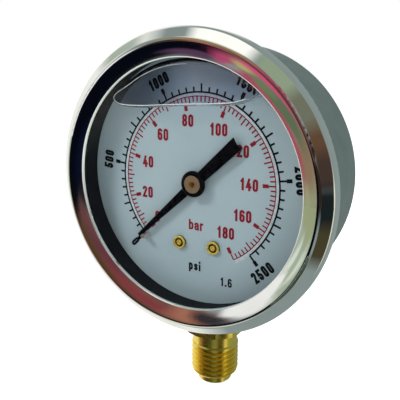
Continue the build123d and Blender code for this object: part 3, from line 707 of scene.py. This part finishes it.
def print_dial():
    """Prints the scales, their figures and the pale line between the scales."""
    red, black = numbers()
    printed("scale_gap", band(RED_RIM, BLACK_RIM, ZERO_ANGLE, bar_angle(END_BAR)),
            MATERIALS["pale"], INK_HEIGHT / 2)
    printed("bar_scale", red_scale(), MATERIALS["red"])
    printed("psi_scale", black_scale(), MATERIALS["black"])
    printed("bar_figures", red, MATERIALS["red"])
    printed("psi_figures", black, MATERIALS["black"])


# ---------------------------------------------------------------- air bubble
BUBBLE_WALL = 28.0  # radius of its top, inside the gasket
BUBBLE_SQUEEZE = 1.35  # how far its round side draws in at the window and at the dial
BUBBLE_FLOAT = 0.05  # film of liquid at the window and over the printing
BUBBLE_STEPS = 12  # rows of faces round its edge
GLINT = 0.12  # width of the painted highlight line where its edge meets the window
GLINT_TOP = 20  # how far up the painted highlight line goes on the right half


def bubble_outline():
    """Widest outline of the bubble: the case's curve above, the liquid's level below."""
    top = [polar(BUBBLE_WALL, a) for a in range(57, 126, 4)]
    left = [(-18.7, 21.5), (-20.1, 20.6), (-20.8, 19.5), (-20.8, 18.3), (-20.0, 17.3),
            (-18.5, 16.7)]
    level = [(-16.0, 16.5), (-12.0, 16.6), (-6.0, 17.1), (0, 17.55), (6, 17.85), (10, 18.15),
             (13, 18.8)]
    right = curve(15.3, 21.4, 1.6, 1.6, -65, 54)
    return [Vector(p) for p in top + left + level + right]


def smoothed(points):
    """Closed outline with its corners cut twice, for a smooth run of points."""
    for _ in range(2):
        points = [p for a, b in zip(points, points[1:] + points[:1])
                  for p in (a * 0.75 + b * 0.25, a * 0.25 + b * 0.75)]
    return points


def drawn_in(points, amount):
    """Closed outline moved inwards by an amount at its top, and by half of it along its level."""
    moved = []
    for before, point, after in zip(points[-1:] + points[:-1], points, points[1:] + points[:1]):
        along = (after - before).normalized()
        inwards = Vector((-along.y, along.x))
        moved.append(point + inwards * amount * (0.75 - 0.25 * inwards.y))
    return moved


def make_bubble():
    """Closed bubble between window and dial, round along its whole edge, with its painted highlight
    line.
    """
    outline = smoothed(bubble_outline())
    deep = WINDOW_GAP - 2 * BUBBLE_FLOAT - INK_HEIGHT
    middle = BUBBLE_FLOAT + INK_HEIGHT + deep / 2
    mesh = bmesh.new()
    rings = []
    for i in range(BUBBLE_STEPS + 1):
        turn = math.pi * i / BUBBLE_STEPS
        height = middle - deep / 2 * math.cos(turn)
        points = drawn_in(outline, BUBBLE_SQUEEZE * (1 - math.sin(turn)))
        rings.append([mesh.verts.new(on_dial(p.x, p.y, height)) for p in points])
    for low, high in zip(rings, rings[1:]):
        for i in range(len(low)):
            j = (i + 1) % len(low)
            mesh.faces.new((low[i], low[j], high[j], high[i]))
    mesh.faces.new(rings[0][::-1])
    mesh.faces.new(rings[-1])
    bmesh.ops.recalc_face_normals(mesh, faces=mesh.faces[:])
    for face in mesh.faces:
        face.smooth = len(face.verts) == 4
        face.material_index = int(face.smooth)
    bubble = piece("air_bubble", mesh, MATERIALS["bubble"])
    bubble.data.materials.append(MATERIALS["bubble_edge"])
    # the painted highlight line leaves out the top right
    contact = [p for p in drawn_in(outline, BUBBLE_SQUEEZE) if p.x < 0 or p.y < GLINT_TOP]
    printed("bubble_glint", stroke(contact, GLINT), MATERIALS["glint"], BUBBLE_FLOAT / 2,
            WINDOW_GAP - BUBBLE_FLOAT)


# ---------------------------------------------------------------- studio
SENSOR, LENS = 36, 53.64  # in millimetres
CAMERA_AT = (67.25, 29.74, 115.03)  # (u, v, height) from the dial's centre
CAMERA_RIGHT = (0.86534, 0.50117, 0.0044)
CAMERA_UP = (-0.12703, 0.21073, 0.9693)
CAMERA_BACK = (0.4848, -0.8393, 0.2460)


def camera():
    """Camera at the viewing angle that the studio is lit for."""
    data = bpy.data.cameras.new("camera")
    data.sensor_width = SENSOR
    data.lens = LENS
    data.clip_start = 0.005
    obj = bpy.data.objects.new("camera", data)
    matrix = Matrix((CAMERA_RIGHT, CAMERA_UP, CAMERA_BACK)).transposed().to_4x4()
    matrix.translation = on_dial(*CAMERA_AT)
    obj.matrix_world = matrix
    bpy.context.scene.collection.objects.link(obj)
    bpy.context.scene.camera = obj


def lamp(name, place_at, size, power):
    """Soft square lamp aimed at the dial's centre."""
    data = bpy.data.lights.new(name, "AREA")
    data.size = size
    data.energy = power
    obj = bpy.data.objects.new(name, data)
    obj.location = place_at
    aim = Vector((DIAL_X, FACE_Y, DIAL_Z)) - Vector(place_at)
    obj.rotation_euler = aim.to_track_quat("-Z", "Y").to_euler()
    obj.visible_glossy = False  # polished surfaces see the room in its place
    bpy.context.scene.collection.objects.link(obj)


# Surroundings that polished metal shows, as soft ellipses: (azimuth, height),
# (half width, half height), slope, softness and colour. Azimuth runs from the front to the right;
# angles are in degrees. Later patches cover earlier ones.
ROOM = [
    # bright windows at the left, above, below and at the right
    ((-112, -8), (50, 62), 0, 0.12, (1.0, 1.0, 0.93)),
    ((-98, 30), (9, 12), 0, 0.40, (0.46, 0.53, 0.44)),
    ((-35, 72), (58, 13), 0, 0.20, (1.25, 1.25, 1.16)),
    ((-60, -52), (60, 10), 0, 0.25, (0.85, 0.88, 0.72)),
    ((82, -20), (11, 26), 0, 0.30, (1.0, 1.0, 0.78)),
    ((42, -44), (12, 7), 0, 0.30, (1.0, 1.0, 0.90)),
    # right: greens and browns
    ((38, 53), (26, 13), 0, 0.30, (0.32, 0.41, 0.27)),
    ((52, 32), (20, 13), 0, 0.30, (0.19, 0.20, 0.14)),
    ((50, 12), (26, 14), 0, 0.30, (0.14, 0.075, 0.04)),
    ((58, 3), (20, 10), 0, 0.40, (0.065, 0.042, 0.034)),
    ((58, -18), (20, 14), 0, 0.30, (0.012, 0.018, 0.020)),
    ((60, -34), (18, 10), 0, 0.40, (0.07, 0.06, 0.028)),
    ((10, -42), (34, 8), 0, 0.30, (0.06, 0.08, 0.05)),
    ((20, -8), (30, 12), 0, 0.30, (0.035, 0.022, 0.012)),
    # above the front: tan, and a lamp higher up
    ((-24, 34), (28, 18), 0, 0.25, (0.32, 0.26, 0.12)),
    ((2, 24), (11, 16), 0, 0.40, (0.42, 0.06, 0.12)),
    ((-28, 50), (24, 7), 0, 0.30, (1.0, 1.0, 0.86)),
    # what the bezel's dish shows
    ((-18, 3), (21, 12.5), 0, 0.10, (0.19, 0.085, 0.075)),
    ((-9, 3), (7, 8), 0, 0.50, (0.14, 0.048, 0.055)),
    ((-20, 5), (8, 5), 0, 0.60, (0.26, 0.048, 0.052)),
    ((-31, 5), (4.5, 12), 0, 0.40, (0.42, 0.17, 0.11)),
    ((-20, -4), (9, 4), 0, 0.40, (0.10, 0.055, 0.02)),
    ((-21, -21.5), (27, 13.5), 14, 0.08, (0.002, 0.003, 0.007)),
    ((2, -22), (7, 14), 20, 0.50, (0.004, 0.006, 0.022)),
    ((-42, -32), (8, 3), 8, 0.40, (0.10, 0.05, 0.10)),
    ((-47, 1), (11.5, 9), -30, 0.12, (1.0, 1.0, 0.95)),
    ((-34, 2), (3, 9), 0, 0.40, (0.03, 0.03, 0.035)),
    ((-50, -10), (10, 4), 12, 0.20, (0.42, 0.50, 0.38)),
    ((-55, -7.5), (2, 4), 0, 0.40, (0.78, 0.86, 0.70)),
    ((-46, -10), (1.5, 4), 0, 0.40, (0.72, 0.82, 0.64)),
    ((-55, -15), (12, 3.5), 4, 0.20, (0.38, 0.42, 0.24)),
    ((-54, -18.5), (12, 2.5), 6, 0.30, (0.30, 0.20, 0.12)),
    ((-52, -23), (10, 4), 14, 0.25, (0.13, 0.18, 0.10)),
    ((-62, -24), (3, 7), 0, 0.40, (0.42, 0.09, 0.12)),
    ((-56, -29), (6, 1.5), 20, 0.40, (0.45, 0.08, 0.14)),
    ((-51, -24.5), (6, 1.5), 27, 0.35, (0.17, 0.24, 0.12)),
    ((-45.5, -27.5), (6.5, 1.6), 45, 0.35, (0.50, 0.07, 0.17)),
    ((-46, -24.5), (4, 1.2), 40, 0.35, (0.55, 0.48, 0.20)),
    ((-57, -28), (6, 1.3), -38, 0.35, (0.45, 0.09, 0.13)),
    ((-44.5, -20.5), (2.5, 2.5), 0, 0.40, (0.75, 0.08, 0.25)),
    ((-30, -13), (14, 7), 8, 0.15, (0.002, 0.003, 0.008)),
]
ROOM_BASE = (0.28, 0.34, 0.32)
SOFT_LIGHT = (0.44, 0.45, 0.46)  # what the surroundings give to plain surfaces
BACKDROP = (1, 1, 1)


def world():
    """White to the eye, plain and soft to diffuse surfaces, a furnished room to polished ones."""
    scene_world = bpy.data.worlds.new("studio")
    bpy.context.scene.world = scene_world
    scene_world.use_nodes = True
    tree = scene_world.node_tree
    background = tree.nodes["Background"]
    direction = apart(tree, tree.nodes.new("ShaderNodeTexCoord").outputs["Generated"])
    ahead = calculate(tree, "MULTIPLY", direction["Y"], -1.0)
    azimuth = calculate(tree, "ARCTAN2", direction["X"], ahead)
    height = calculate(tree, "ARCSINE", direction["Z"])
    chart = add(tree, "ShaderNodeCombineXYZ", X=azimuth, Y=height).outputs["Vector"]
    colour = ROOM_BASE
    for centre, half, slope, soft, tint in ROOM:
        local = add(tree, "ShaderNodeMapping", Vector=chart,
                    Location=(math.radians(centre[0]), math.radians(centre[1]), 0),
                    Rotation=(0, 0, math.radians(slope)),
                    Scale=(math.radians(half[0]), math.radians(half[1]), 1))
        local.vector_type = "TEXTURE"
        away = add(tree, "ShaderNodeVectorMath")
        away.operation = "LENGTH"
        tree.links.new(local.outputs["Vector"], away.inputs[0])
        inside = between(tree, away.outputs["Value"], 1, 0, 1 - soft, 1 + soft)
        colour = blend(tree, inside, colour, tint)
    path = tree.nodes.new("ShaderNodeLightPath").outputs
    plain = blend(tree, path["Is Glossy Ray"], SOFT_LIGHT, colour)
    seen = blend(tree, path["Is Camera Ray"], plain, BACKDROP)
    tree.links.new(seen, background.inputs["Color"])
    background.inputs["Strength"].default_value = 1.0


FLOOR_RADIUS = 1.5
FLOOR_DROP = 0.0001  # air under the gauge
FLOOR_TONE = (0.80, 0.80, 0.80, 1)
FLOOR_GLOW = 0.70  # lifts the floor to the backdrop's white, for the camera only


def floor_paper():
    """Pale paper, white to the camera where no shadow falls, and hidden from polished surfaces."""
    material, tree, shader = new_material("floor_paper")
    shader.inputs["Base Color"].default_value = FLOOR_TONE
    shader.inputs["Roughness"].default_value = 0.9
    shader.inputs["Specular IOR Level"].default_value = 0.0
    path = tree.nodes.new("ShaderNodeLightPath").outputs
    lift = calculate(tree, "MULTIPLY", path["Is Camera Ray"], FLOOR_GLOW)
    glow = add(tree, "ShaderNodeEmission", Color=WHITE, Strength=lift).outputs[0]
    total = tree.nodes.new("ShaderNodeAddShader")
    tree.links.new(shader.outputs[0], total.inputs[0])
    tree.links.new(glow, total.inputs[1])
    hidden = add(tree, "ShaderNodeBsdfTransparent").outputs[0]
    surface(tree, shader_mix(tree, path["Is Glossy Ray"], total.outputs[0], hidden))
    return material


def floor():
    """Plain pale floor that the gauge stands on; it keeps a soft shadow."""
    low = cad_box[0].z
    mesh = bmesh.new()
    bmesh.ops.create_circle(mesh, cap_ends=True, segments=96, radius=FLOOR_RADIUS)
    bmesh.ops.translate(mesh, vec=(0, 0, low - FLOOR_DROP), verts=mesh.verts[:])
    obj = new_object("floor", mesh, floor_paper())


# Each lamp's name, place in metres, size in metres and power in watts.
LAMPS = [
    ("key", (-0.26, -0.38, 0.42), 0.16, 1.8),
    ("fill", (0.45, -0.25, 0.30), 0.30, 1.3),
    ("top", (0.05, 0.10, 0.55), 0.30, 1.3),
]


def studio():
    """Camera, surroundings, floor and lamps."""
    bpy.context.scene.view_settings.view_transform = "Standard"
    camera()
    world()
    floor()
    for name, place_at, size, power in LAMPS:
        lamp(name, place_at, size, power)


make_materials()
finish_nodes()
print_dial()
make_bubble()
studio()
